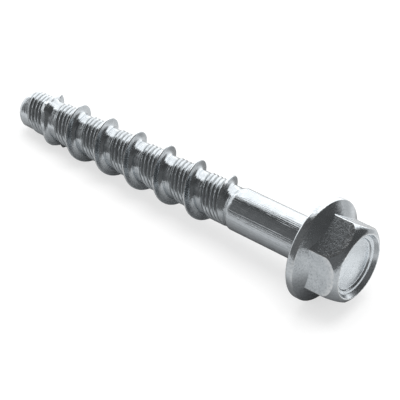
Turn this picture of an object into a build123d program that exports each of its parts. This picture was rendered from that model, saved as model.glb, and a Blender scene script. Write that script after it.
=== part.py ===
from build123d import *
import math
import os

# A hex flange concrete screw, cold formed from one steel blank and thread rolled.
# Millimetres, +Z up. It lies on the floor as it comes to rest, on the rim of its
# flange and on a crest of its coarse thread, with the tip towards -X.
# Each shape is first made upright: the bearing face of the flange is the plane z = 0,
# the head is below it, the shank points up, and one flat of the hex faces +X.

# Driving dimensions of the shank and the threads
LENGTH_UNDER_HEAD = 80.0
SHANK_DIAMETER = 9.0
PLAIN_LENGTH = 20.4
SHANK_CONE_LENGTH = 0.5
ROOT_DIAMETER = 8.1
LOW_CREST_DIAMETER = 8.8
HIGH_CREST_DIAMETER = 11.4
PITCH = 8.3
THREAD_ANGLE_AT_BEARING_FACE = 55.0

# Axial widths on the thread profile. The low ridges stand between the turns of the
# coarse ridge, at these distances from it towards the head.
HIGH_CREST_WIDTH = 0.4
HIGH_BASE_WIDTH = 2.2
FLANK_HOLLOW = 1.4
FLANK_STRETCHES = 3
LOW_BASE_WIDTH = 1.7
LOW_RIDGE_OFFSETS = (4.2, 6.2)
LOW_VALLEY_HEIGHT = 0.05
RIDGE_FOOT_DEPTH = 0.3

# Run-out of the ridges at the shank, the start of the coarse ridge and the tip
RUN_OUT_LENGTH = 3.6
COARSE_START = 74.9
COARSE_START_LENGTH = 1.4
TIP_BALL_DIAMETER = 9.0
TIP_FLAT_DIAMETER = 5.0

# Length of thread from the tip end that carries the saw teeth, and the two cuts that
# make them: corners of each cut, as an angle round the axis and a depth below the crest
SAW_TOOTHED_LENGTH = 7.5
LONG_SAW_CUT = (
    (155, 0), (162, 1.0), (188, 0.35), (202, 0.35), (230, 1.1), (263, 1.2), (296, 1.2),
    (301, 0.6), (318, 1.1), (346, 1.0), (350, 1.25), (372, 1.25), (377, 0),
)
SHORT_SAW_CUT = ((411, 0), (414, 1.3), (442, 1.3), (446, 0))

# Driving dimensions of the head
HEAD_HEIGHT = 9.5
HEX_ACROSS_FLATS = 15.0
FLANGE_DIAMETER = 21.0
FLANGE_RIM_HEIGHT = 1.9
FLANGE_LOWER_CHAMFER = 0.4
FLANGE_UPPER_ROUND = 0.7
FLANGE_CONE_ANGLE = 31.8
CROWN_RING_DIAMETER = 13.4
CROWN_HEIGHT = 3.1
RECESS_DIAMETER = 13.0
RECESS_FLOOR_DIAMETER = 12.0
RECESS_DEPTH = 1.6

# Direction round the screw that faces the floor when it lies
FLOOR_SIDE_ANGLE = 141.0

ROOT_RADIUS = ROOT_DIAMETER / 2
SHANK_RADIUS = SHANK_DIAMETER / 2
LOW_CREST_RADIUS = LOW_CREST_DIAMETER / 2
HIGH_CREST_RADIUS = HIGH_CREST_DIAMETER / 2
FLANGE_RADIUS = FLANGE_DIAMETER / 2
HEX_CORNER_RADIUS = HEX_ACROSS_FLATS / 2 / math.cos(math.radians(30))
FOOT_RADIUS = ROOT_RADIUS - RIDGE_FOOT_DEPTH
DEGREES_PER_MM = 360 / PITCH
# Cutters reach this far past what they cut
CLEARANCE = 1.0
OUTSIDE_RADIUS = HIGH_CREST_RADIUS + CLEARANCE


def thread_angle(height):
    """Angle round the axis at which the coarse crest stands at a height."""
    return THREAD_ANGLE_AT_BEARING_FACE + height * DEGREES_PER_MM


def height_of_crest(angle):
    """Height at which the coarse crest of the first turn stands at an angle."""
    turns_below = math.floor(thread_angle(COARSE_START) / 360) - 1
    return (angle + 360 * turns_below - THREAD_ANGLE_AT_BEARING_FACE) / DEGREES_PER_MM


def polar(radius, angle):
    """Point on a circle about the axis, as plane coordinates."""
    return (radius * math.cos(math.radians(angle)), radius * math.sin(math.radians(angle)))


def turned(*outline):
    """Solid of revolution about Z of a closed outline of (radius, height) edges."""
    return revolve(Plane.XZ * make_face(outline), Axis.Z)


def helical(profile, start, end):
    """Solid swept by a closed (radius, height) profile along the thread's helix."""
    path = Wire(Edge.make_helix(pitch=PITCH, height=end - start, radius=ROOT_RADIUS))
    section = Plane.XZ * make_face(Polyline(*profile, profile[0]))
    swept = Solid.sweep(section.face(), path, is_frenet=True)
    return Pos(0, 0, start) * Rot(0, 0, thread_angle(start)) * swept


def coarse_profile():
    """Coarse ridge: a narrow crest and hollow flanks that run down into a wide foot."""
    depth = HIGH_CREST_RADIUS - ROOT_RADIUS
    half_crest = HIGH_CREST_WIDTH / 2
    spread = HIGH_BASE_WIDTH / 2 - half_crest
    flank = []
    for stretch in range(FLANK_STRETCHES + 1):
        part = stretch / FLANK_STRETCHES
        flank.append((HIGH_CREST_RADIUS - depth * part, half_crest + spread * part ** FLANK_HOLLOW))
    # The foot goes on into the core, as steep as the last stretch of the flank
    (radius_a, half_a), (radius_b, half_b) = flank[-2], flank[-1]
    lean = (half_b - half_a) / (radius_a - radius_b)
    flank[-1] = (FOOT_RADIUS, half_b + lean * RIDGE_FOOT_DEPTH)
    below = [(radius, -half) for radius, half in reversed(flank)]
    return below + flank


def low_profile():
    """Pair of low ridges with a valley between them, nearer the head than the coarse one."""
    near, far = LOW_RIDGE_OFFSETS
    half = LOW_BASE_WIDTH / 2
    foot = half * RIDGE_FOOT_DEPTH / (LOW_CREST_RADIUS - ROOT_RADIUS)
    return [
        (FOOT_RADIUS, -far - half - foot),
        (LOW_CREST_RADIUS, -far),
        (ROOT_RADIUS + LOW_VALLEY_HEIGHT, -(near + far) / 2),
        (LOW_CREST_RADIUS, -near),
        (FOOT_RADIUS, -near + half + foot),
    ]


def beyond_run_out():
    """Space outside the cone in which the ridges rise next to the plain shank."""
    rise = (HIGH_CREST_RADIUS - ROOT_RADIUS) / RUN_OUT_LENGTH
    cone_start = PLAIN_LENGTH - SHANK_CONE_LENGTH / 2
    neck_radius = ROOT_RADIUS - rise * SHANK_CONE_LENGTH / 2
    cone_end = PLAIN_LENGTH + RUN_OUT_LENGTH + CLEARANCE / rise
    # The ridges begin less than two turns below the cone
    below_ridges = cone_start - 2 * PITCH
    return turned(
        Polyline(
            (0, cone_start),
            (neck_radius, cone_start),
            (OUTSIDE_RADIUS, cone_end),
            (OUTSIDE_RADIUS, below_ridges),
            (0, below_ridges),
            (0, cone_start),
        )
    )


def beyond_coarse_start():
    """Space outside the cone in which the coarse ridge starts near the tip."""
    fall = (HIGH_CREST_RADIUS - ROOT_RADIUS) / COARSE_START_LENGTH
    cone_start = COARSE_START - CLEARANCE / fall
    cone_end = COARSE_START + (HIGH_CREST_RADIUS - FOOT_RADIUS + CLEARANCE) / fall
    return turned(
        Polyline(
            (OUTSIDE_RADIUS, cone_start),
            (FOOT_RADIUS - CLEARANCE, cone_end),
            (FOOT_RADIUS - CLEARANCE, cone_end + PITCH),
            (OUTSIDE_RADIUS, cone_end + PITCH),
            (OUTSIDE_RADIUS, cone_start),
        )
    )


def beyond_nose():
    """Space outside the ball-shaped nose and the flat end of the tip."""
    ball_radius = TIP_BALL_DIAMETER / 2
    end_radius = TIP_FLAT_DIAMETER / 2
    end_angle = math.degrees(math.acos(end_radius / ball_radius))
    centre = LENGTH_UNDER_HEAD - ball_radius * math.sin(math.radians(end_angle))
    middle_radius, middle_rise = polar(ball_radius, end_angle / 2)
    nose = ThreePointArc(
        (ball_radius, centre), (middle_radius, centre + middle_rise), (end_radius, LENGTH_UNDER_HEAD)
    )
    around = Polyline(
        (end_radius, LENGTH_UNDER_HEAD),
        (0, LENGTH_UNDER_HEAD),
        (0, LENGTH_UNDER_HEAD + PITCH),
        (OUTSIDE_RADIUS, LENGTH_UNDER_HEAD + PITCH),
        (OUTSIDE_RADIUS, centre),
        (ball_radius, centre),
    )
    return turned(nose, around)


def saw_cutter(corners):
    """Space outside the saw-toothed crest, between the first and the last corner of a cut."""
    inner = [polar(HIGH_CREST_RADIUS - depth, angle) for angle, depth in corners]
    # The outer side is far enough out for its straight stretches to clear the crest
    outer = [polar(2 * HIGH_CREST_RADIUS, angle) for angle, depth in reversed(corners)]
    wedge = make_face(Polyline(*inner, *outer, inner[0]))
    below_teeth = COARSE_START - SAW_TOOTHED_LENGTH - HIGH_BASE_WIDTH
    return Pos(0, 0, below_teeth) * extrude(wedge, 2 * PITCH)


def coarse_ridge():
    """Coarse ridge from its run-out at the shank to its saw-toothed start at the tip."""
    teeth_end = COARSE_START - SAW_TOOTHED_LENGTH
    plain_turns = helical(coarse_profile(), PLAIN_LENGTH - CLEARANCE, teeth_end)
    toothed_turn = helical(coarse_profile(), teeth_end, COARSE_START + COARSE_START_LENGTH)
    toothed_turn = toothed_turn - saw_cutter(LONG_SAW_CUT) - saw_cutter(SHORT_SAW_CUT)
    return plain_turns - beyond_run_out(), toothed_turn - beyond_coarse_start()


def low_ridges():
    """Both low ridges, from the run-out at the shank to the nose of the tip."""
    start = PLAIN_LENGTH + LOW_RIDGE_OFFSETS[0] - PITCH / 2
    ridges = helical(low_profile(), start, LENGTH_UNDER_HEAD + PITCH)
    return ridges - beyond_run_out() - beyond_nose()


def core():
    """Plain shank, the short cone that steps down to the thread's core, and the nose."""
    outline = Polyline(
        (0, 0),
        (SHANK_RADIUS, 0),
        (SHANK_RADIUS, PLAIN_LENGTH - SHANK_CONE_LENGTH),
        (ROOT_RADIUS, PLAIN_LENGTH),
        (ROOT_RADIUS, LENGTH_UNDER_HEAD + CLEARANCE),
        (0, LENGTH_UNDER_HEAD + CLEARANCE),
        (0, 0),
    )
    return turned(outline) - beyond_nose()


def flange():
    """Round flange: flat bearing face, rim with a rounded top edge and a conical upper side."""
    chamfer = FLANGE_LOWER_CHAMFER
    upper = FLANGE_UPPER_ROUND
    slope = math.radians(FLANGE_CONE_ANGLE)
    # The round turns from the side of the rim into the cone, tangent to both
    round_end_radius = FLANGE_RADIUS - upper * (1 - math.sin(slope))
    round_start_z = -FLANGE_RIM_HEIGHT + upper
    round_end_z = round_start_z - upper * math.cos(slope)
    # The cone goes on to half way inside the hexagon
    cone_top_radius = HEX_ACROSS_FLATS / 4
    cone_top_z = round_end_z - (round_end_radius - cone_top_radius) * math.tan(slope)
    rim = Polyline(
        (0, 0), (FLANGE_RADIUS - chamfer, 0), (FLANGE_RADIUS, -chamfer), (FLANGE_RADIUS, round_start_z)
    )
    top_round = TangentArc(
        (FLANGE_RADIUS, round_start_z), (round_end_radius, round_end_z), tangent=(0, -1)
    )
    upper_side = Polyline(
        (round_end_radius, round_end_z), (cone_top_radius, cone_top_z), (0, cone_top_z), (0, 0)
    )
    return turned(rim, top_round, upper_side)


def hex_body():
    """Hexagon whose corners are taken off by a domed crown."""
    flats = RegularPolygon(HEX_ACROSS_FLATS / 2, 6, major_radius=False, rotation=30)
    prism = extrude(flats, -HEAD_HEIGHT)
    crown_start = -HEAD_HEIGHT + CROWN_HEIGHT
    ring_radius = CROWN_RING_DIAMETER / 2
    # The dome is part of a ball whose centre lies on the axis
    centre = (HEX_CORNER_RADIUS ** 2 - ring_radius ** 2 - HEAD_HEIGHT ** 2 + crown_start ** 2)
    centre = centre / (2 * CROWN_HEIGHT)
    ball_radius = math.hypot(ring_radius, HEAD_HEIGHT + centre)
    top_angle = math.degrees(math.atan2(HEAD_HEIGHT + centre, ring_radius))
    side_angle = math.degrees(math.atan2(centre - crown_start, HEX_CORNER_RADIUS))
    middle_radius, middle_depth = polar(ball_radius, (top_angle + side_angle) / 2)
    dome = ThreePointArc(
        (HEX_CORNER_RADIUS, crown_start), (middle_radius, centre - middle_depth), (ring_radius, -HEAD_HEIGHT)
    )
    inside = Polyline(
        (ring_radius, -HEAD_HEIGHT), (0, -HEAD_HEIGHT), (0, 0), (HEX_CORNER_RADIUS, 0),
        (HEX_CORNER_RADIUS, crown_start)
    )
    return prism & turned(dome, inside)


def recess():
    """Shallow round hollow in the top of the head, with a sloped wall."""
    floor = -HEAD_HEIGHT + RECESS_DEPTH
    mouth = -HEAD_HEIGHT - CLEARANCE
    wall_slope = (RECESS_DIAMETER - RECESS_FLOOR_DIAMETER) / 2 / RECESS_DEPTH
    mouth_radius = RECESS_DIAMETER / 2 + wall_slope * CLEARANCE
    floor_radius = RECESS_FLOOR_DIAMETER / 2
    return turned(Polyline((0, floor), (floor_radius, floor), (mouth_radius, mouth), (0, mouth), (0, floor)))


def upright_screw():
    """The whole screw on its own axis, tip up."""
    head = flange() + hex_body() - recess()
    plain_turns, toothed_turn = coarse_ridge()
    return head + core() + plain_turns + toothed_turn + low_ridges()


def lie_down(part):
    """Lay the screw on the flange rim and on the crest that faces the floor."""
    crest_height = height_of_crest(FLOOR_SIDE_ANGLE)
    rim_height = -FLANGE_LOWER_CHAMFER
    lean = math.degrees(math.atan2(FLANGE_RADIUS - HIGH_CREST_RADIUS, crest_height - rim_height))
    # The floor side is turned to +X, and +X is then swung down to -Z
    part = Rot(0, 0, -FLOOR_SIDE_ANGLE) * part
    part = Rot(0, -90, 0) * Rot(0, 0, 180) * part
    part = Rot(0, -lean, 0) * part
    box = part.bounding_box()
    middle = box.center()
    return Pos(-middle.X, -middle.Y, -box.min.Z) * part


screw = lie_down(upright_screw())
os.makedirs("parts", exist_ok=True)
export_step(screw, "parts/screw.step")
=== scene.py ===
import math
import bmesh
import bpy
from mathutils import Matrix, Vector


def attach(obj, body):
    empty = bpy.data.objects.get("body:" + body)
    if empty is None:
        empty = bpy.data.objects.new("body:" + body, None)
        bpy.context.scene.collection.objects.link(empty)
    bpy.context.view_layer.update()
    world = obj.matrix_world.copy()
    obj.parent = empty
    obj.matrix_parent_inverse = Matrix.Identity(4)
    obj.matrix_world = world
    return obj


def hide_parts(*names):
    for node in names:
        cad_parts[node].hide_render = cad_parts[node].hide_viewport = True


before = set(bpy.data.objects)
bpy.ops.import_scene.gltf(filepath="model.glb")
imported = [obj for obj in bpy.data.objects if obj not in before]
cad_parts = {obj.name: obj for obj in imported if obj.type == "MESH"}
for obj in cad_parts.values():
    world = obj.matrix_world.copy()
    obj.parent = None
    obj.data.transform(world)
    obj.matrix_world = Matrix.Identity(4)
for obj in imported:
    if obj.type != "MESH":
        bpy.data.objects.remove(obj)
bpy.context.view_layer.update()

# The screw is modelled upright, in millimetres and degrees: the bearing face of the
# flange is the plane z = 0, the head is below it and the tip points up. It is laid down
# and brought to metres at the end.

# Plain shank
LENGTH_UNDER_HEAD = 80.0
PLAIN_LENGTH = 20.4
SHANK_RADIUS = 4.5
SHANK_FILLET = 0.35
SHANK_CONE_LENGTH = 1.2
SHANK_RING_HEIGHTS = (16.0, 12.0, 8.0, 4.0, 1.2)
# The rings of the shank and the turns of the thread leave a gap, which is bridged
SHANK_RINGS_END = PLAIN_LENGTH - SHANK_CONE_LENGTH - 0.6
THREAD_MESH_START = PLAIN_LENGTH - SHANK_CONE_LENGTH - 0.3

# Coarse ridge: a narrow crest with softened edges and hollow flanks
PITCH = 8.3
DEGREES_PER_MM = 360 / PITCH
THREAD_ANGLE = 55.0
ROOT_RADIUS = 4.05
CREST_RADIUS = 5.7
RIDGE_DEPTH = CREST_RADIUS - ROOT_RADIUS
HALF_CREST = 0.16
CREST_EDGE_WIDTH = 0.06
CREST_EDGE_DROP = 0.05
FLANK_WIDTH = 0.42
FLANK_FOOT_WIDTH = 0.45
FLANK_STEPS = 8
RIDGE_REACH = 1.3
RUN_OUT_LENGTH = 3.6
TURNS_MADE = 9
TURNS_MADE_BELOW = 1.2

# Two low ridges, each a pair of beads: how far their middles lie below a coarse crest,
# and their half profile as distance from the middle and rise above the root
LOW_RIDGE_MIDDLES = (4.2, 6.2)
LOW_RIDGE_PROFILE = (
    (0.08, 0.04), (0.2, 0.12), (0.32, 0.21), (0.42, 0.26), (0.5, 0.26),
    (0.6, 0.21), (0.72, 0.12), (0.86, 0.03), (0.98, 0.0),
)
ROOT_POINT_HEIGHTS = (5.4, 5.9, 6.3, 6.6, 6.85, 7.1)

# Start of the coarse ridge near the tip, where its first turn is saw-toothed
COARSE_START = 74.9
COARSE_START_LENGTH = 1.4
# Outline of the tall teeth: angle round the axis and depth below the crest
SAW_OUTLINE = (
    (155, 0), (162, 1.0), (188, 0.35), (202, 0.35), (230, 1.1), (263, 1.25), (296, 1.2),
    (301, 0.6), (318, 1.1), (346, 1.0), (350, 1.25), (372, 1.25), (377, 0),
    (411, 0), (414, 1.3), (442, 1.3), (446, 0),
)
# Low broad teeth between the tall ones: angles where they rise and fall, height, and
# how far they reach towards the head and towards the tip
PRESSED_TEETH = ((276, 286, 316, 326, 0.82, 1.75, 1.7), (328, 336, 356, 364, 0.5, 1.5, 0.3))

# Nose: a ball with a flat end face. Its last rings, from the edge of the end face
# inwards: how far they lie inside the face's radius and below the face
BALL_RADIUS = 4.5
TIP_RADIUS = 2.5
BALL_CENTRE = LENGTH_UNDER_HEAD - math.sqrt(BALL_RADIUS ** 2 - TIP_RADIUS ** 2)
THREAD_MESH_END = 78.4
NOSE_RINGS_START = THREAD_MESH_END + 0.12
NOSE_RINGS_END = LENGTH_UNDER_HEAD - 0.072
NOSE_STEPS = 8
TIP_EDGE_PROFILE = ((0.05, 0.028), (0.15, 0.006), (0.27, 0.0), (0.55, 0.0), (1.35, 0.0))

# Flange: flat bearing face, low rim and conical upper side
FLANGE_RADIUS = 10.5
BEARING_RING_RADII = (6.0, 8.0, 9.6)
BEARING_EDGE_ROUND = 0.4
RIM_EDGE_ROUND = 0.3
RIM_EDGE_CENTRE = (FLANGE_RADIUS - RIM_EDGE_ROUND, -1.423)
CONE_ANGLE = 31.8
CONE_FOOT = (10.169, -1.795)

# Hexagon and its domed crown
HEAD_HEIGHT = 9.5
HEX_HALF = 7.5
HEX_HALF_SIDE_ANGLE = math.radians(30)
HEX_CORNER_ROUND = 0.25
HEX_FOOT_FILLET = 0.15
HEX_FOOT_PARTS = (0.0, 0.25, 0.5, 0.75, 1.0)
CROWN_RING_RADIUS = 6.7
CROWN_HEIGHT = 3.1
CROWN_BULGE = 0.5
RINGS_UNDER_CROWN = (1.6, 0.12, 0.04)
DOME_PARTS = (0.03, 0.15, 0.3, 0.45, 0.6, 0.75, 0.9, 1.0)

# Recess in the crown, from its rim to its middle: radius and depth
RECESS_PROFILE = (
    (6.62, 0.0), (6.53, 0.03), (6.46, 0.12), (6.06, 0.82), (5.99, 0.9), (5.88, 0.94),
    (5.52, 0.96), (5.42, 1.0), (5.36, 1.08), (5.24, 1.3), (5.17, 1.37), (5.05, 1.4),
    (4.8, 1.41), (3.0, 1.41), (1.5, 1.41),
)

# Rings have vertices at even steps, and on the head at these angles from each corner of
# the hexagon to the middle of a flat
RING_COUNT = 144
CORNER_STEPS = (0.0, 0.28, 0.56, 0.84, 1.6, 3.0, 5.0, 8.0, 12.0, 16.5, 21.0, 25.5, 30.0)

# Steps of the rounded edges, and tolerances for merging and for finding edges
FILLET_STEPS = 5
EDGE_STEPS = 6
MERGE_DISTANCE = 0.001
CUT_TOLERANCE = 0.0001
FIND_TOLERANCE = 0.01
SHARP_ANGLE = 38

# Rubbed edges: how far the marks reach from the edge, and how strong they are. The rim
# of the flange is rubbed at its two edges, and not between the last two heights.
CREST_RUB_WIDTH = 0.13
RUBBED_CREST_RISE = 0.6
FLATS_START = -1.5
CORNER_RUB_ANGLE = 0.9
CROWN_RUB_WIDTH = 0.13
RECESS_RIM_DEPTH = 0.1
RECESS_RIM_RADIUS = 6.3
RECESS_RIM_RUB = 0.8
RIM_RUB_WIDTH = 0.25
RIM_BOTTOM = -1.75
RIM_RUB = 0.5
RIM_PLAIN_HEIGHTS = (-1.3, -0.3)

# Painted shade at the bottoms of the grooves and at the feet of the ridges: where it lies, as
# distances from the coarse crest and from a low ridge's middle
GROOVED_FROM = PLAIN_LENGTH + 0.5
GROOVED_TO = LENGTH_UNDER_HEAD - 2
GROOVE_RISE = 0.3
RIDGE_FOOT_START = 0.95
BEAD_GROOVE_HALF = 0.1
LOW_RIDGE_FOOT = (0.84, 1.0)

# Where the finishes meet
SHANK_FINISH, THREAD_FINISH, HEAD_FINISH, RECESS_FINISH = range(4)
SHANK_FINISH_START = 0.4
RECESS_FINISH_TOP = -HEAD_HEIGHT + 0.2
RECESS_FINISH_END = -6.5
RECESS_FINISH_RADIUS = 6.4

# How it lies: the side at FLOOR_SIDE_ANGLE faces the floor, and the axis leans
FLOOR_SIDE_ANGLE = 141.0
LEAN = 3.9919
BEARING_PLACE = (0.0350183, 0.0, 0.0104613)
METRES_PER_MM = 0.001

# Colours of the zinc in bright and dull places, in pits and on rubbed edges, and of the painted shade
# in grooves
BRIGHT_ZINC = (0.74, 0.785, 0.82, 1)
DULL_ZINC = (0.57, 0.61, 0.64, 1)
# The thread's zinc is darker than the shank's: painted shade for the shade among the ridges
SHADED_ROLLED_BRIGHT_ZINC = (0.72, 0.765, 0.795, 1)
SHADED_ROLLED_DULL_ZINC = (0.46, 0.49, 0.515, 1)
PIT_COLOUR = (0.38, 0.41, 0.43, 1)
RUBBED_COLOUR = (0.86, 0.88, 0.89, 1)
# Painted shade in the bottoms of the grooves and at the feet of the ridges
GROOVE_SHADE_COLOUR = (0.28, 0.3, 0.31, 1)

# Patterns of the zinc, per millimetre, and the noise levels between which they show
CLOUD_SCALE = 0.35
CLOUD_LEVELS = (0.34, 0.66)
FINE_CLOUD_FACTOR = 11.0
FINE_CLOUD_SHARE = 0.5
PIT_LEVELS = (0.42, 0.7)
WEAR_SCALE = 1.6
WEAR_LEVELS = (0.35, 0.6)
DRAWN_STREAKS = (3.2, 3.2, 0.05)
ROLLED_STREAKS = (2.2, 2.2, 0.0)
ROLLED_DRIFT = (0.45, 0.3, 0.12)
ROLLED_DRIFT_TURN = (0.7, 0.5, 0.3)
FORGED_TEXTURE = (1.1, 1.1, 1.1)

# How smooth rubbed edges are, how rough grooves are, and how far down the flanks of the
# coarse ridge the marks of the rolls fade
RUBBED_SMOOTHER = 0.6
GROOVE_ROUGHER = 0.25
FLANK_REGION = (1.0, 0.7)
FLANK_SMOOTHER = 0.75
BUMP_DISTANCE = 0.00001

# White background, and even light for what neither the camera nor the metal sees
EVEN_LIGHT = 0.8
WHITE_LIGHT = 1.0

# Floor, in metres. It runs out into plain white far from the screw.
FLOOR_HALF = 1.5
FLOOR_COLOUR = (0.95, 0.95, 0.95, 1)
FLOOR_ROUGHNESS = 0.9
FLOOR_WHITE_SHARE = 0.6
FLOOR_RUN_OUT = (0.1, 0.35)

# What the metal sees round it: middle azimuth, half width and edge, highest elevation
# and edge, all in degrees, and the strength of the light
TENT_RADIUS = 1.2
TENT_PANELS = {
    "white panel behind": (118, 46, 12, 60, 12, 1.45),
    "left strip": (180, 22, 14, 38, 14, 1.2),
    "left glow": (-150, 12, 16, 31, 14, 0.32),
    "front glow": (-75, 75, 40, 62, 24, 0.06),
}
DARK_ROOM = 0.08

# Grey card under the screw: its tone, and the places that add to it or take from it,
# which are painted light and painted shade. A place is a product of soft steps, each
# along X or Y from where it starts to where it is full, in metres.
CARD_HEIGHT = 0.0001
CARD_TONE = 0.45
CARD_PAINTED_LIGHT_AND_SHADE = {
    "behind the screw": (0.13, (("Y", 0.0, 0.01),)),
    "far behind, to the left": (0.3, (("Y", 0.03, 0.06), ("X", 0.05, 0.0))),
    "beside the head": (0.18, (("X", 0.043, 0.049), ("Y", -0.006, 0.003), ("Y", 0.018, 0.008))),
    "behind the head": (-0.2, (("X", 0.02, 0.06), ("Y", 0.03, 0.06))),
    "past the nose": (0.2, (("X", -0.042, -0.058),)),
}
# Darker in a strip behind the shank, which draws a thin line along its upper edge
DARK_STRIP = (("Y", 0.008, 0.013), ("Y", 0.036, 0.022), ("X", 0.044, 0.034), ("X", -0.018, -0.006))
DARK_STRIP_DEPTH = 0.55
# Darker in front of the screw, where its own shade lies, out to these edges
SHADE = 0.6
SHADE_EDGES = (("Y", -0.013, -0.024), ("Y", -0.001, 0.004), ("X", 0.044, 0.064), ("X", -0.042, -0.056))
SHADE_PLACES = {
    "under the head": (-0.15, (("X", 0.022, 0.034),)),
    "under the thread": (0.14, (("X", 0.012, -0.002),)),
}
# Far behind the screw the card runs out into the light of the white panel
CARD_GLOW = 0.75
GLOW_PLACE = (("Y", 0.08, 0.2), ("X", 0.2, -0.1))

# Soft square lamp above and behind the screw, turned towards it
LAMP_PLACE = (0.0, 0.1, 0.7)
LAMP_SIDE = 0.6
LAMP_POWER = 4.0

# Camera at the photograph's viewing angle: metres, degrees and millimetres
CAMERA_PLACE = (0.1422014, -0.1603630, 0.1870070)
CAMERA_TURN = (49.3013, -0.1373, 40.5997)
CAMERA_LENS = 122.975
CAMERA_SENSOR = 36.0
CAMERA_CLIP_START = 0.01


def thread_offset(angle, height):
    """Distance along the axis from the nearest turn of the coarse crest."""
    crest = (angle - THREAD_ANGLE) / DEGREES_PER_MM
    return (height - crest + PITCH / 2) % PITCH - PITCH / 2


def even_angles():
    return [360 * k / RING_COUNT for k in range(RING_COUNT)]


def hex_angles():
    """Ring angles that crowd together at the corners of the hexagon."""
    angles = []
    for corner in range(30, 390, 60):
        angles += [corner + step for step in CORNER_STEPS[:-1]]
        angles += [corner + 60 - step for step in reversed(CORNER_STEPS[1:])]
    return sorted(angle - 360 if angle >= 360 else angle for angle in angles)


def hex_radius(angle):
    """Radius of the hexagon with rounded corners at an angle, one flat facing 0 degrees."""
    from_corner = math.radians(abs((angle % 60) - 30))
    from_flat = HEX_HALF_SIDE_ANGLE - from_corner
    inner_half = HEX_HALF - HEX_CORNER_ROUND
    if from_flat > math.atan(inner_half * math.tan(HEX_HALF_SIDE_ANGLE) / HEX_HALF):
        round_centre = inner_half / math.cos(HEX_HALF_SIDE_ANGLE)
        aside = round_centre * math.sin(from_corner)
        return round_centre * math.cos(from_corner) + math.sqrt(HEX_CORNER_ROUND ** 2 - aside ** 2)
    return HEX_HALF / math.cos(from_flat)


def place(radius, angle, height):
    turn = math.radians(angle)
    return Vector((radius * math.cos(turn), radius * math.sin(turn), height))


def arc(centre, radius, start, end, steps):
    """Points of a circular arc in the (radius, height) plane."""
    points = []
    for step in range(steps + 1):
        turn = math.radians(start + (end - start) * step / steps)
        points.append((centre[0] + radius * math.cos(turn), centre[1] + radius * math.sin(turn)))
    return points


def first_ring(mesh, radius, height):
    """Ring of vertices, in order round the axis, from which others are extruded."""
    ring = bmesh.ops.create_circle(mesh, segments=RING_COUNT, radius=radius)["verts"]
    ring.sort(key=lambda v: math.atan2(v.co.y, v.co.x) % math.tau)
    for vert, angle in zip(ring, even_angles()):
        vert.co = place(radius, angle, height)
    return ring


def ring_edges(mesh, ring):
    return [mesh.edges.get((a, b)) for a, b in zip(ring, ring[1:] + ring[:1])]


def add_rings(mesh, ring, angles, outlines):
    """Extrude a ring again and again; an outline gives radius and height at each angle."""
    for outline in outlines:
        made = bmesh.ops.extrude_edge_only(mesh, edges=ring_edges(mesh, ring))["geom"]
        fresh = {v for v in made if isinstance(v, bmesh.types.BMVert)}
        new_ring = []
        for vert, angle in zip(ring, angles):
            neighbours = [edge.other_vert(vert) for edge in vert.link_edges]
            partner = [neighbour for neighbour in neighbours if neighbour in fresh][0]
            radius, height = outline(angle)
            partner.co = place(radius, angle, height)
            new_ring.append(partner)
        ring = new_ring
    return ring


def turned(points):
    """Outlines of round rings, one for each point given as radius and height."""
    return [lambda angle, point=point: point for point in points]


def close_ring(mesh, ring):
    """Flat face over the last ring, started at the same vertex in every run."""
    mesh.faces.new(ring)


# The dome of the crown is an arc through the hex corner and the crown's ring
CORNER_RADIUS = HEX_HALF / math.cos(HEX_HALF_SIDE_ANGLE)
CHORD = Vector((CORNER_RADIUS - CROWN_RING_RADIUS, CROWN_HEIGHT))
DOME_RADIUS = (CHORD.length ** 2 / 4 + CROWN_BULGE ** 2) / (2 * CROWN_BULGE)
DOME_MIDDLE = Vector((CROWN_RING_RADIUS, -HEAD_HEIGHT)) + CHORD / 2
DOME_CENTRE = DOME_MIDDLE + Vector((-CHORD.y, CHORD.x)).normalized() * (DOME_RADIUS - CROWN_BULGE)
CROWN_END_ANGLE = math.atan2(-HEAD_HEIGHT - DOME_CENTRE.y, CROWN_RING_RADIUS - DOME_CENTRE.x)


def dome_point(radius, part):
    """Point of the dome's arc, part of the way from a radius to the crown's ring."""
    start = -math.acos(min(1, (radius - DOME_CENTRE.x) / DOME_RADIUS))
    turn = start + (CROWN_END_ANGLE - start) * part
    return (DOME_CENTRE.x + DOME_RADIUS * math.cos(turn), DOME_CENTRE.y + DOME_RADIUS * math.sin(turn))


def cone_height(radius):
    """Height of the conical upper side of the flange at a radius."""
    return CONE_FOOT[1] - (CONE_FOOT[0] - radius) * math.tan(math.radians(CONE_ANGLE))


def hex_foot(part):
    """Concave fillet between the flange's cone and a flat of the hexagon."""
    def outline(angle):
        radius = hex_radius(angle)
        start = Vector((radius + HEX_FOOT_FILLET, cone_height(radius + HEX_FOOT_FILLET)))
        corner = Vector((radius, cone_height(radius)))
        end = Vector((radius, cone_height(radius) - HEX_FOOT_FILLET))
        point = start.lerp(corner, part).lerp(corner.lerp(end, part), part)
        return (point.x, point.y)
    return outline


def under_crown(distance):
    """Ring on the flats of the hexagon, at a distance from the edge of the crown."""
    def outline(angle):
        radius = hex_radius(angle)
        return (radius, dome_point(radius, 0)[1] + distance)
    return outline


def on_dome(part):
    """Ring on the crown, part of the way from the flats to the crown's ring."""
    return lambda angle: dome_point(hex_radius(angle), part)


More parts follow.
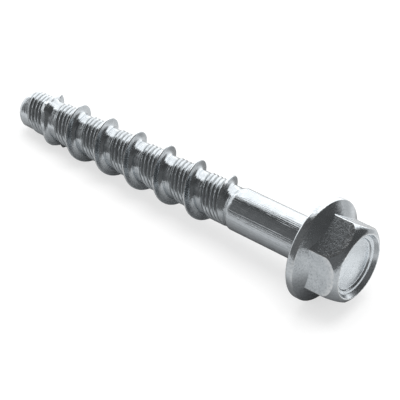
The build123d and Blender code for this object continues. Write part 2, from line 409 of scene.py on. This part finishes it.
def make_head(mesh):
    """Plain shank, flange, hexagon, domed crown and recess, ring by ring from the thread."""
    shank = [(SHANK_RADIUS, height) for height in SHANK_RING_HEIGHTS]
    shank += arc((SHANK_RADIUS + SHANK_FILLET, SHANK_FILLET), SHANK_FILLET, 180, 270, FILLET_STEPS)
    bearing_edge_centre = (FLANGE_RADIUS - BEARING_EDGE_ROUND, -BEARING_EDGE_ROUND)
    cone_radius = RIM_EDGE_CENTRE[0]
    flange = [(radius, 0) for radius in BEARING_RING_RADII]
    flange += arc(bearing_edge_centre, BEARING_EDGE_ROUND, 90, 0, EDGE_STEPS)
    flange += arc(RIM_EDGE_CENTRE, RIM_EDGE_ROUND, 0, CONE_ANGLE - 90, EDGE_STEPS)
    flange.append((cone_radius, cone_height(cone_radius)))
    hexagon = [hex_foot(part) for part in HEX_FOOT_PARTS]
    hexagon += [under_crown(distance) for distance in RINGS_UNDER_CROWN]
    hexagon += [on_dome(part) for part in DOME_PARTS]
    recess = [(radius, -HEAD_HEIGHT + depth) for radius, depth in RECESS_PROFILE]
    first = first_ring(mesh, SHANK_RADIUS, SHANK_RINGS_END)
    ring = add_rings(mesh, first, even_angles(), turned(shank))
    ring = add_rings(mesh, ring, hex_angles(), turned(flange) + hexagon + turned(recess))
    close_ring(mesh, ring)
    return first


def nose_radius(height):
    return math.sqrt(BALL_RADIUS ** 2 - (height - BALL_CENTRE) ** 2)


def make_nose(mesh):
    """Ball-shaped nose and flat end face, ring by ring from the end of the threads."""
    ball = []
    for step in range(1, NOSE_STEPS + 1):
        height = NOSE_RINGS_START + (NOSE_RINGS_END - NOSE_RINGS_START) * step / NOSE_STEPS
        ball.append((nose_radius(height), height))
    face = [(TIP_RADIUS - inwards, LENGTH_UNDER_HEAD - below) for inwards, below in TIP_EDGE_PROFILE]
    first = first_ring(mesh, nose_radius(NOSE_RINGS_START), NOSE_RINGS_START)
    ring = add_rings(mesh, first, even_angles(), turned(ball + face))
    close_ring(mesh, ring)
    return first


def profile_points():
    """One pitch of the thread, from coarse crest to coarse crest, as (height, radius)."""
    crest_edge = CREST_RADIUS - CREST_EDGE_DROP
    crest_end = HALF_CREST - CREST_EDGE_WIDTH
    flank = [(0.0, CREST_RADIUS), (crest_end, CREST_RADIUS), (HALF_CREST, crest_edge)]
    for step in range(1, FLANK_STEPS + 1):
        part = step / FLANK_STEPS
        height = HALF_CREST + FLANK_WIDTH * part + FLANK_FOOT_WIDTH * part ** 5
        flank.append((height, crest_edge - (RIDGE_DEPTH - CREST_EDGE_DROP) * part))
    low_ridge = [(-away, rise) for away, rise in reversed(LOW_RIDGE_PROFILE)] + list(LOW_RIDGE_PROFILE)
    points = list(flank)
    for middle in reversed(LOW_RIDGE_MIDDLES):
        points += [(PITCH - middle + away, ROOT_RADIUS + rise) for away, rise in low_ridge]
    points += [(height, ROOT_RADIUS) for height in ROOT_POINT_HEIGHTS]
    points += [(PITCH - height, radius) for height, radius in reversed(flank)]
    return points


def first_turn_angle(crest_height):
    """Angle along the crest, counted so that the saw-toothed turn is 155 to 446 degrees."""
    turns_below = math.floor((THREAD_ANGLE + COARSE_START * DEGREES_PER_MM) / 360) - 1
    return THREAD_ANGLE + crest_height * DEGREES_PER_MM - 360 * turns_below


def pressed_tooth(crest_height, offset):
    """How far a low broad tooth stands above the root."""
    turn = first_turn_angle(crest_height)
    for start, full, fading, end, rise, to_head, to_tip in PRESSED_TEETH:
        away = abs(offset) / (to_tip if offset > 0 else to_head)
        if start < turn < end and away < 1:
            part = min((turn - start) / (full - start), (end - turn) / (end - fading), 1)
            return rise * part * (1 - away)
    return 0


def saw_limit(crest_height):
    """Radius that the saw teeth leave to the coarse crest at a height along the thread."""
    turn = first_turn_angle(crest_height)
    for (angle, depth), (next_angle, next_depth) in zip(SAW_OUTLINE, SAW_OUTLINE[1:]):
        if angle <= turn <= next_angle:
            part = (turn - angle) / (next_angle - angle)
            return CREST_RADIUS - depth - (next_depth - depth) * part
    return CREST_RADIUS


def shaped_radius(radius, angle, height):
    """Radius of a point of the threads after run-out, saw teeth, start and nose."""
    offset = thread_offset(angle, height)
    crest_height = height - offset
    if abs(offset) < RIDGE_REACH:
        radius = min(radius, max(saw_limit(crest_height), ROOT_RADIUS))
        start_fall = CREST_RADIUS - (height - COARSE_START) * RIDGE_DEPTH / COARSE_START_LENGTH
        radius = min(radius, max(start_fall, ROOT_RADIUS))
    radius = max(radius, ROOT_RADIUS + pressed_tooth(crest_height, offset))
    to_full_height = PLAIN_LENGTH + RUN_OUT_LENGTH - height
    radius = min(radius, CREST_RADIUS - to_full_height * RIDGE_DEPTH / RUN_OUT_LENGTH)
    cone_part = (height - PLAIN_LENGTH + SHANK_CONE_LENGTH) / SHANK_CONE_LENGTH
    cone = SHANK_RADIUS - (SHANK_RADIUS - ROOT_RADIUS) * min(max(cone_part, 0), 1)
    radius = max(radius, cone)
    if height > BALL_CENTRE:
        radius = min(radius, nose_radius(height))
    return radius


def make_threads(mesh):
    """Coarse ridge and low ridges: the profile of one pitch is screwed up the shank."""
    bottom = PLAIN_LENGTH - TURNS_MADE_BELOW * PITCH
    angle = THREAD_ANGLE + bottom * DEGREES_PER_MM
    profile = [place(radius, angle, bottom + height) for height, radius in profile_points()]
    verts = [mesh.verts.new(point) for point in profile]
    edges = [mesh.edges.new(pair) for pair in zip(verts, verts[1:])]
    bmesh.ops.spin(mesh, geom=verts + edges, cent=(0, 0, 0), axis=(0, 0, 1),
                   dvec=(0, 0, PITCH / RING_COUNT), angle=math.tau,
                   steps=RING_COUNT, use_merge=False, use_duplicate=False)
    first_turn = mesh.verts[:] + mesh.edges[:] + mesh.faces[:]
    for turn in range(1, TURNS_MADE):
        copy = bmesh.ops.duplicate(mesh, geom=first_turn)["geom"]
        copied = [v for v in copy if isinstance(v, bmesh.types.BMVert)]
        bmesh.ops.translate(mesh, verts=copied, vec=(0, 0, PITCH * turn))
    bmesh.ops.remove_doubles(mesh, verts=mesh.verts, dist=MERGE_DISTANCE)
    for height, from_above in ((THREAD_MESH_START, False), (THREAD_MESH_END, True)):
        geom = mesh.verts[:] + mesh.edges[:] + mesh.faces[:]
        bmesh.ops.bisect_plane(mesh, geom=geom, dist=CUT_TOLERANCE, plane_co=(0, 0, height),
                               plane_no=(0, 0, 1), clear_outer=from_above, clear_inner=not from_above)
    for vert in mesh.verts:
        x, y, height = vert.co
        angle = math.degrees(math.atan2(y, x))
        vert.co = place(shaped_radius(math.hypot(x, y), angle, height), angle, height)


def open_edges(mesh, height):
    """Edges of the open end at a height."""
    return [e for e in mesh.edges
            if e.is_boundary and abs(e.verts[0].co.z - height) < FIND_TOLERANCE]


def edge_mark(radius, angle, height, offset):
    """1 on the edges that rub against other things, 0 elsewhere."""
    if height > PLAIN_LENGTH:
        on_crest = abs(offset) < CREST_RUB_WIDTH and radius > ROOT_RADIUS + RUBBED_CREST_RISE
        return 1.0 if on_crest else 0.0
    if height < FLATS_START and abs(radius - hex_radius(angle)) < FIND_TOLERANCE:
        near_corner = abs(angle % 60 - 30) < CORNER_RUB_ANGLE
        near_crown = abs(height - dome_point(radius, 0)[1]) < CROWN_RUB_WIDTH
        return 1.0 if near_corner or near_crown else 0.0
    if height < -HEAD_HEIGHT + RECESS_RIM_DEPTH and radius > RECESS_RIM_RADIUS:
        return RECESS_RIM_RUB
    on_rim = radius > FLANGE_RADIUS - RIM_RUB_WIDTH and RIM_BOTTOM < height < 0
    between_edges = RIM_PLAIN_HEIGHTS[0] <= height <= RIM_PLAIN_HEIGHTS[1]
    return RIM_RUB if on_rim and not between_edges else 0.0


def groove_shade_mark(radius, height, offset):
    """1 where shade is painted, at the bottom of the grooves in and beside the low ridges, 0
    elsewhere.
    """
    if height < GROOVED_FROM or height > GROOVED_TO or radius > ROOT_RADIUS + GROOVE_RISE:
        return 0.0
    if RIDGE_FOOT_START < offset < RIDGE_REACH:
        return 1.0
    for middle in LOW_RIDGE_MIDDLES:
        away = abs((offset + middle + PITCH / 2) % PITCH - PITCH / 2)
        if away < BEAD_GROOVE_HALF or LOW_RIDGE_FOOT[0] < away < LOW_RIDGE_FOOT[1]:
            return 1.0
    return 0.0


def finish_number(middle):
    """Material number of a face with its middle here."""
    if middle.z > THREAD_MESH_END:
        return HEAD_FINISH
    if middle.z > PLAIN_LENGTH - SHANK_CONE_LENGTH:
        return THREAD_FINISH
    if middle.z > SHANK_FINISH_START:
        return SHANK_FINISH
    in_recess = math.hypot(middle.x, middle.y) < RECESS_FINISH_RADIUS
    if in_recess and RECESS_FINISH_TOP < middle.z < RECESS_FINISH_END:
        return RECESS_FINISH
    return HEAD_FINISH


def mark_surface(mesh):
    """Attributes for the finishes and for the painted shade in grooves, and the number of the finish
    of each face.
    """
    crest_layer = mesh.verts.layers.float.new("from_crest")
    phase_layer = mesh.verts.layers.float_vector.new("thread_phase")
    upright_layer = mesh.verts.layers.float_vector.new("upright_mm")
    edge_layer = mesh.verts.layers.float.new("edge")
    groove_shade_layer = mesh.verts.layers.float.new("groove_shade")
    for vert in mesh.verts:
        radius = math.hypot(vert.co.x, vert.co.y)
        angle = math.degrees(math.atan2(vert.co.y, vert.co.x)) % 360
        offset = thread_offset(angle, vert.co.z)
        turn = math.tau * offset / PITCH
        vert[crest_layer] = abs(offset)
        vert[phase_layer] = Vector((math.cos(turn), math.sin(turn), 0)) * PITCH / math.tau
        vert[upright_layer] = vert.co
        vert[edge_layer] = edge_mark(radius, angle, vert.co.z, offset)
        vert[groove_shade_layer] = groove_shade_mark(radius, vert.co.z, offset)
    for face in mesh.faces:
        face.material_index = finish_number(face.calc_center_median())


def new_object(name, mesh):
    """Object in the scene with a finished bmesh."""
    data = bpy.data.meshes.new(name)
    mesh.to_mesh(data)
    mesh.free()
    made = bpy.data.objects.new(name, data)
    bpy.context.scene.collection.objects.link(made)
    return made


def build_screw():
    """The whole screw as one closed mesh, laid down in the place of the CAD solid."""
    mesh = bmesh.new()
    make_threads(mesh)
    shank_end = open_edges(mesh, THREAD_MESH_START)
    tip_end = open_edges(mesh, THREAD_MESH_END)
    shank_ring = make_head(mesh)
    bmesh.ops.bridge_loops(mesh, edges=shank_end + ring_edges(mesh, shank_ring))
    nose_ring = make_nose(mesh)
    bmesh.ops.bridge_loops(mesh, edges=tip_end + ring_edges(mesh, nose_ring))
    bmesh.ops.recalc_face_normals(mesh, faces=mesh.faces)
    mark_surface(mesh)
    lay_down = (
        Matrix.Translation(BEARING_PLACE)
        @ Matrix.Rotation(math.radians(-90 - LEAN), 4, "Y")
        @ Matrix.Rotation(math.radians(180 - FLOOR_SIDE_ANGLE), 4, "Z")
        @ Matrix.Scale(METRES_PER_MM, 4)
    )
    bmesh.ops.transform(mesh, matrix=lay_down, verts=mesh.verts)
    screw = new_object("screw_body", mesh)
    screw.data.shade_smooth()
    screw.data.set_sharp_from_angle(angle=math.radians(SHARP_ANGLE))
    return screw


def feed(tree, socket, value):
    """Give a socket a plain value, or link it to the output of another node."""
    if isinstance(value, bpy.types.NodeSocket):
        tree.links.new(value, socket)
    else:
        socket.default_value = value


def add_math(tree, operation, *values):
    """Math node whose inputs are numbers or the outputs of other nodes."""
    node = tree.nodes.new("ShaderNodeMath")
    node.operation = operation
    for socket, value in zip(node.inputs, values):
        feed(tree, socket, value)
    return node.outputs[0]


def soft_step(tree, value, start, end):
    """0 below start, 1 above end, smooth between them; start may be the larger."""
    node = tree.nodes.new("ShaderNodeMapRange")
    node.interpolation_type = "SMOOTHSTEP"
    tree.links.new(value, node.inputs["Value"])
    node.inputs["From Min"].default_value = start
    node.inputs["From Max"].default_value = end
    return node.outputs["Result"]


def add_noise(tree, vector, scale, detail, roughness=0.5):
    """Noise texture whose scale is a number or the output of another node."""
    noise = tree.nodes.new("ShaderNodeTexNoise")
    tree.links.new(vector, noise.inputs["Vector"])
    feed(tree, noise.inputs["Scale"], scale)
    noise.inputs["Detail"].default_value = detail
    noise.inputs["Roughness"].default_value = roughness
    return noise.outputs["Fac"]


def add_mix(tree, factor, first, second):
    """Mix of two colours, each plain or the output of another node."""
    mix = tree.nodes.new("ShaderNodeMix")
    mix.data_type = "RGBA"
    tree.links.new(factor, mix.inputs["Factor"])
    colours = [socket for socket in mix.inputs if socket.type == "RGBA"]
    for socket, value in zip(colours, (first, second)):
        feed(tree, socket, value)
    return [socket for socket in mix.outputs if socket.type == "RGBA"][0]


def add_mapping(tree, vector, scale, rotation=(0.0, 0.0, 0.0)):
    """Vector of a pattern, scaled after a turn."""
    mapping = tree.nodes.new("ShaderNodeMapping")
    tree.links.new(vector, mapping.inputs["Vector"])
    mapping.inputs["Scale"].default_value = scale
    mapping.inputs["Rotation"].default_value = rotation
    return mapping.outputs[0]


def add_attribute(tree, name, output="Fac"):
    node = tree.nodes.new("ShaderNodeAttribute")
    node.attribute_name = name
    return node.outputs[output]


def add_group(tree, group, values):
    """Node group placed in a material with its own values, and its outputs."""
    node = tree.nodes.new("ShaderNodeGroup")
    node.node_tree = group
    for name, value in values.items():
        feed(tree, node.inputs[name], value)
    return node.outputs


def add_split(tree, vector):
    """X, Y and Z of a vector."""
    split = tree.nodes.new("ShaderNodeSeparateXYZ")
    tree.links.new(vector, split.inputs[0])
    return split.outputs


def new_group(name, inputs, outputs):
    """Shader node group with named sockets, and the sockets that its nodes read and feed."""
    group = bpy.data.node_groups.new(name, "ShaderNodeTree")
    for socket_name, kind, value in inputs:
        socket = group.interface.new_socket(name=socket_name, in_out="INPUT", socket_type=kind)
        if value is not None:
            socket.default_value = value
    for socket_name, kind in outputs:
        group.interface.new_socket(name=socket_name, in_out="OUTPUT", socket_type=kind)
    given = group.nodes.new("NodeGroupInput").outputs
    result = group.nodes.new("NodeGroupOutput").inputs
    return group, given, result


def new_material(name):
    """Material that starts as the standard shader, with its node tree and its nodes."""
    material = bpy.data.materials.new(name)
    material.use_nodes = True
    return material, material.node_tree, material.node_tree.nodes


def make_plating_group():
    """Cloudy tone of the zinc layer: colour and how dull it is from place to place."""
    group, given, result = new_group(
        "zinc_plating",
        (("Vector", "NodeSocketVector", None), ("Bright", "NodeSocketColor", BRIGHT_ZINC),
         ("Dull", "NodeSocketColor", DULL_ZINC), ("Cloud Scale", "NodeSocketFloat", CLOUD_SCALE)),
        (("Color", "NodeSocketColor"), ("Dullness", "NodeSocketFloat")),
    )
    clouds = add_noise(group, given["Vector"], given["Cloud Scale"], detail=5.0, roughness=0.6)
    clouds = soft_step(group, clouds, *CLOUD_LEVELS)
    fine_scale = add_math(group, "MULTIPLY", given["Cloud Scale"], FINE_CLOUD_FACTOR)
    fine = add_noise(group, given["Vector"], fine_scale, detail=3.0)
    dullness = add_math(group, "MULTIPLY", clouds, 1.0 - FINE_CLOUD_SHARE)
    dullness = add_math(group, "MULTIPLY_ADD", fine, FINE_CLOUD_SHARE, dullness)
    colour = add_mix(group, dullness, given["Bright"], given["Dull"])
    group.links.new(colour, result["Color"])
    group.links.new(dullness, result["Dullness"])
    return group


def make_grain_group():
    """Height of the surface: drawn or rolled streaks with fine pits between them."""
    group, given, result = new_group(
        "worked_steel_grain",
        (("Streak Vector", "NodeSocketVector", None), ("Pit Vector", "NodeSocketVector", None),
         ("Streak Height", "NodeSocketFloat", 1.0), ("Pit Height", "NodeSocketFloat", 1.0)),
        (("Height", "NodeSocketFloat"), ("Pits", "NodeSocketFloat")),
    )
    streaks = add_noise(group, given["Streak Vector"], 1.0, detail=4.0, roughness=0.55)
    pits = soft_step(group, add_noise(group, given["Pit Vector"], 1.0, detail=3.0), *PIT_LEVELS)
    height = add_math(group, "MULTIPLY", streaks, given["Streak Height"])
    height = add_math(group, "MULTIPLY_ADD", pits, given["Pit Height"], height)
    group.links.new(height, result["Height"])
    group.links.new(pits, result["Pits"])
    return group


def make_wear_group():
    """Mask of the rubbed edges, broken up by noise."""
    group, given, result = new_group(
        "rubbed_edges",
        (("Edge", "NodeSocketFloat", 0.0), ("Vector", "NodeSocketVector", None)),
        (("Wear", "NodeSocketFloat"),),
    )
    noise = add_noise(group, given["Vector"], WEAR_SCALE, detail=4.0, roughness=0.65)
    breaks = soft_step(group, noise, *WEAR_LEVELS)
    group.links.new(add_math(group, "MULTIPLY", given["Edge"], breaks), result["Wear"])
    return group


def streaks_along_axis(tree, upright):
    """Drawing marks that run along the shank."""
    return add_mapping(tree, upright, DRAWN_STREAKS)


def streaks_along_thread(tree, upright):
    """Rolling marks that follow the thread round the screw."""
    joined = tree.nodes.new("ShaderNodeVectorMath")
    joined.operation = "ADD"
    phase = add_mapping(tree, add_attribute(tree, "thread_phase", "Vector"), ROLLED_STREAKS)
    drift = add_mapping(tree, upright, ROLLED_DRIFT, ROLLED_DRIFT_TURN)
    tree.links.new(phase, joined.inputs[0])
    tree.links.new(drift, joined.inputs[1])
    return joined.outputs[0]


def forging_marks(tree, upright):
    """Even texture of a forged surface, without a direction."""
    return add_mapping(tree, upright, FORGED_TEXTURE)


def zinc_material(name, groups, streaks, pit_scale, streak_height, pit_height, roughness,
                  dull_roughness, pit_tone, bright=BRIGHT_ZINC, dull=DULL_ZINC, flank_roughness=0):
    """Bright zinc on steel. streaks gives the vector that the streaks follow."""
    plating_group, grain_group, wear_group = groups
    material, tree, nodes = new_material(name)
    shader = nodes["Principled BSDF"]
    shader.inputs["Metallic"].default_value = 1.0
    upright = add_attribute(tree, "upright_mm", "Vector")
    groove_shade = add_attribute(tree, "groove_shade")
    plating = add_group(tree, plating_group, {"Vector": upright, "Bright": bright, "Dull": dull})
    grain = add_group(tree, grain_group, {
        "Streak Vector": streaks(tree, upright),
        "Pit Vector": add_mapping(tree, upright, (pit_scale, pit_scale, pit_scale)),
        "Streak Height": streak_height,
        "Pit Height": pit_height,
    })
    wear_values = {"Vector": upright, "Edge": add_attribute(tree, "edge")}
    wear = add_group(tree, wear_group, wear_values)["Wear"]

    pit_mask = add_math(tree, "MULTIPLY", grain["Pits"], pit_tone)
    colour = add_mix(tree, pit_mask, plating["Color"], PIT_COLOUR)
    colour = add_mix(tree, wear, colour, RUBBED_COLOUR)
    # Painted shade: the groove mask darkens the bottoms of the grooves and the feet of the ridges
    colour = add_mix(tree, groove_shade, colour, GROOVE_SHADE_COLOUR)
    tree.links.new(colour, shader.inputs["Base Color"])

    rough = add_math(tree, "MULTIPLY_ADD", plating["Dullness"], dull_roughness, roughness)
    rough = add_math(tree, "MULTIPLY_ADD", grain["Pits"], dull_roughness, rough)
    rough = add_math(tree, "MULTIPLY_ADD", wear, -RUBBED_SMOOTHER * roughness, rough)
    rough = add_math(tree, "MULTIPLY_ADD", groove_shade, GROOVE_ROUGHER, rough)
    height = grain["Height"]
    if flank_roughness:
        flank = soft_step(tree, add_attribute(tree, "from_crest"), *FLANK_REGION)
        rough = add_math(tree, "MULTIPLY_ADD", flank, flank_roughness, rough)
        kept_height = add_math(tree, "MULTIPLY_ADD", flank, -FLANK_SMOOTHER, 1.0)
        height = add_math(tree, "MULTIPLY", height, kept_height)
    tree.links.new(rough, shader.inputs["Roughness"])

    bump = nodes.new("ShaderNodeBump")
    bump.inputs["Strength"].default_value = 1.0
    bump.inputs["Distance"].default_value = BUMP_DISTANCE
    tree.links.new(height, bump.inputs["Height"])
    tree.links.new(bump.outputs[0], shader.inputs["Normal"])
    return material


def add_finishes(screw):
    """Plain shank, thread, head and recess each get the finish of their own making; the thread's zinc
    is also darkened as painted shade.
    """
    groups = (make_plating_group(), make_grain_group(), make_wear_group())
    finishes = {
        SHANK_FINISH: zinc_material(
            "zinc_on_shank", groups, streaks_along_axis, pit_scale=5.0, streak_height=9.0,
            pit_height=0.35, roughness=0.07, dull_roughness=0.06, pit_tone=0.3),
        THREAD_FINISH: zinc_material(
            "zinc_on_thread", groups, streaks_along_thread, pit_scale=3.5, streak_height=10.0,
            pit_height=0.4, roughness=0.05, dull_roughness=0.06, pit_tone=0.45,
            bright=SHADED_ROLLED_BRIGHT_ZINC, dull=SHADED_ROLLED_DULL_ZINC, flank_roughness=0.17),
        HEAD_FINISH: zinc_material(
            "zinc_on_head", groups, forging_marks, pit_scale=2.8, streak_height=1.6,
            pit_height=0.55, roughness=0.12, dull_roughness=0.1, pit_tone=0.3),
        RECESS_FINISH: zinc_material(
            "zinc_in_recess", groups, forging_marks, pit_scale=4.0, streak_height=0.5,
            pit_height=0.05, roughness=0.2, dull_roughness=0.08, pit_tone=0.12),
    }
    for number in sorted(finishes):
        screw.data.materials.append(finishes[number])


def make_world():
    """White for what the camera and the metal see, and even light for everything else."""
    world = bpy.data.worlds.new("white_studio")
    bpy.context.scene.world = world
    world.use_nodes = True
    tree = world.node_tree
    even_light = tree.nodes["Background"]
    even_light.inputs["Color"].default_value = (1, 1, 1, 1)
    even_light.inputs["Strength"].default_value = EVEN_LIGHT
    white = tree.nodes.new("ShaderNodeBackground")
    white.inputs["Color"].default_value = (1, 1, 1, 1)
    white.inputs["Strength"].default_value = WHITE_LIGHT
    path = tree.nodes.new("ShaderNodeLightPath").outputs
    seen = add_math(tree, "MAXIMUM", path["Is Camera Ray"], path["Is Glossy Ray"])
    seen = add_math(tree, "MAXIMUM", seen, path["Is Transmission Ray"])
    mix = tree.nodes.new("ShaderNodeMixShader")
    tree.links.new(seen, mix.inputs["Fac"])
    tree.links.new(even_light.outputs[0], mix.inputs[1])
    tree.links.new(white.outputs[0], mix.inputs[2])
    tree.links.new(mix.outputs[0], tree.nodes["World Output"].inputs["Surface"])


def make_floor():
    """Plain pale floor that keeps the shadow of the screw."""
    grid = bmesh.new()
    bmesh.ops.create_grid(grid, x_segments=1, y_segments=1, size=FLOOR_HALF)
    floor = new_object("floor", grid)
    floor.visible_glossy = False
    material, tree, nodes = new_material("pale_floor")
    shader = nodes["Principled BSDF"]
    shader.inputs["Roughness"].default_value = FLOOR_ROUGHNESS
    shader.inputs["Specular IOR Level"].default_value = 0.0
    shader.inputs["Base Color"].default_value = FLOOR_COLOUR
    # To the camera the floor is part white, so that the shadow on it is faint
    white = nodes.new("ShaderNodeEmission")
    white.inputs["Strength"].default_value = 1.0
    camera_ray = nodes.new("ShaderNodeLightPath").outputs["Is Camera Ray"]
    distance = nodes.new("ShaderNodeVectorMath")
    distance.operation = "LENGTH"
    tree.links.new(nodes.new("ShaderNodeTexCoord").outputs["Object"], distance.inputs[0])
    far_off = soft_step(tree, distance.outputs["Value"], *FLOOR_RUN_OUT)
    share = add_math(tree, "MULTIPLY_ADD", far_off, 1.0 - FLOOR_WHITE_SHARE, FLOOR_WHITE_SHARE)
    mix = nodes.new("ShaderNodeMixShader")
    tree.links.new(add_math(tree, "MULTIPLY", camera_ray, share), mix.inputs["Fac"])
    tree.links.new(shader.outputs[0], mix.inputs[1])
    tree.links.new(white.outputs[0], mix.inputs[2])
    tree.links.new(mix.outputs[0], nodes["Material Output"].inputs["Surface"])
    floor.data.materials.append(material)


def show_to_metal_only(thing):
    thing.visible_camera = False
    thing.visible_diffuse = False
    thing.visible_shadow = False
    thing.visible_transmission = False


def make_reflection_tent():
    """Dome that only the metal sees: a white panel behind the screw, a dark room in front."""
    dome = bmesh.new()
    bmesh.ops.create_icosphere(dome, subdivisions=4, radius=TENT_RADIUS)
    geom = dome.verts[:] + dome.edges[:] + dome.faces[:]
    bmesh.ops.bisect_plane(dome, geom=geom, dist=CUT_TOLERANCE, plane_co=(0, 0, 0),
                           plane_no=(0, 0, 1), clear_inner=True)
    tent = new_object("reflection_tent", dome)
    show_to_metal_only(tent)
    material, tree, nodes = new_material("tent_lining")
    nodes.remove(nodes["Principled BSDF"])
    lining = nodes.new("ShaderNodeEmission")
    outwards = nodes.new("ShaderNodeVectorMath")
    outwards.operation = "NORMALIZE"
    tree.links.new(nodes.new("ShaderNodeTexCoord").outputs["Object"], outwards.inputs[0])
    direction = add_split(tree, outwards.outputs[0])
    azimuth = add_math(tree, "ARCTAN2", direction["Y"], direction["X"])
    azimuth = add_math(tree, "DEGREES", azimuth)
    elevation = add_math(tree, "DEGREES", add_math(tree, "ARCSINE", direction["Z"]))
    strength = DARK_ROOM
    for middle, half_width, side_edge, highest, top_edge, light in TENT_PANELS.values():
        aside = add_math(tree, "SUBTRACT", azimuth, middle)
        aside = add_math(tree, "WRAP", aside, 180.0, -180.0)
        aside = add_math(tree, "ABSOLUTE", aside)
        across = soft_step(tree, aside, half_width + side_edge / 2, half_width - side_edge / 2)
        below = soft_step(tree, elevation, highest + top_edge / 2, highest - top_edge / 2)
        panel = add_math(tree, "MULTIPLY", across, below)
        strength = add_math(tree, "MULTIPLY_ADD", panel, light, strength)
    tree.links.new(strength, lining.inputs["Strength"])
    tree.links.new(lining.outputs[0], nodes["Material Output"].inputs["Surface"])
    tent.data.materials.append(material)


def soft_place(tree, position, steps):
    """Product of soft steps along the card's X and Y."""
    axis, start, end = steps[0]
    product = soft_step(tree, position[axis], start, end)
    for axis, start, end in steps[1:]:
        product = add_math(tree, "MULTIPLY", product, soft_step(tree, position[axis], start, end))
    return product


def grey_colour(tree, value):
    """Colour with one value in all three channels."""
    grey = tree.nodes.new("ShaderNodeCombineColor")
    for channel in grey.inputs:
        tree.links.new(value, channel)
    return grey.outputs[0]


def make_table_card():
    """Grey card under the screw that only the metal sees, with painted light behind the screw and
    painted shade in front of it.
    """
    card = bmesh.new()
    bmesh.ops.create_circle(card, cap_ends=True, segments=96, radius=TENT_RADIUS)
    bmesh.ops.translate(card, verts=card.verts, vec=(0, 0, CARD_HEIGHT))
    table = new_object("table_card", card)
    show_to_metal_only(table)
    material, tree, nodes = new_material("grey_card")
    shader = nodes["Principled BSDF"]
    shader.inputs["Roughness"].default_value = 1.0
    shader.inputs["Specular IOR Level"].default_value = 0.0
    shader.inputs["Emission Strength"].default_value = 1.0
    position = add_split(tree, nodes.new("ShaderNodeTexCoord").outputs["Object"])

    tone = CARD_TONE
    # Painted light and shade: places where the card is made lighter or darker
    for share, steps in CARD_PAINTED_LIGHT_AND_SHADE.values():
        tone = add_math(tree, "MULTIPLY_ADD", soft_place(tree, position, steps), share, tone)
    strip = soft_place(tree, position, DARK_STRIP)
    strip = add_math(tree, "MULTIPLY_ADD", strip, -DARK_STRIP_DEPTH, 1.0)
    tone = add_math(tree, "MULTIPLY", tone, strip)

    lit = 0.0
    for edge in SHADE_EDGES:
        lit = add_math(tree, "MAXIMUM", soft_place(tree, position, (edge,)), lit)
    shade = SHADE
    for share, steps in SHADE_PLACES.values():
        shade = add_math(tree, "MULTIPLY_ADD", soft_place(tree, position, steps), share, shade)
    shade = add_math(tree, "MULTIPLY_ADD", lit, add_math(tree, "SUBTRACT", 1.0, shade), shade)
    tone = add_math(tree, "MULTIPLY", tone, shade)
    tree.links.new(grey_colour(tree, tone), shader.inputs["Base Color"])

    glow = add_math(tree, "MULTIPLY", soft_place(tree, position, GLOW_PLACE), CARD_GLOW)
    tree.links.new(grey_colour(tree, glow), shader.inputs["Emission Color"])
    table.data.materials.append(material)


def make_lamp():
    """Soft lamp, which lights the floor and stays out of the reflections."""
    light = bpy.data.lights.new("overhead_lamp", "AREA")
    light.shape = "RECTANGLE"
    light.size = light.size_y = LAMP_SIDE
    light.energy = LAMP_POWER
    lamp = bpy.data.objects.new("overhead_lamp", light)
    lamp.location = LAMP_PLACE
    lamp.rotation_euler = (-Vector(LAMP_PLACE)).to_track_quat("-Z", "Y").to_euler()
    lamp.visible_glossy = False
    bpy.context.scene.collection.objects.link(lamp)


def make_stage():
    """Floor, white background, reflections and soft lamp."""
    make_world()
    make_floor()
    make_reflection_tent()
    make_table_card()
    make_lamp()


def make_camera():
    """Camera at the photograph's viewing angle."""
    data = bpy.data.cameras.new("camera")
    data.sensor_width = CAMERA_SENSOR
    data.lens = CAMERA_LENS
    data.clip_start = CAMERA_CLIP_START
    camera = bpy.data.objects.new("camera", data)
    camera.location = CAMERA_PLACE
    camera.rotation_euler = [math.radians(angle) for angle in CAMERA_TURN]
    bpy.context.scene.collection.objects.link(camera)
    bpy.context.scene.camera = camera


screw_body = build_screw()
add_finishes(screw_body)
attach(screw_body, "root")
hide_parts("screw")

make_stage()
make_camera()
bpy.context.scene.view_settings.view_transform = "Standard"
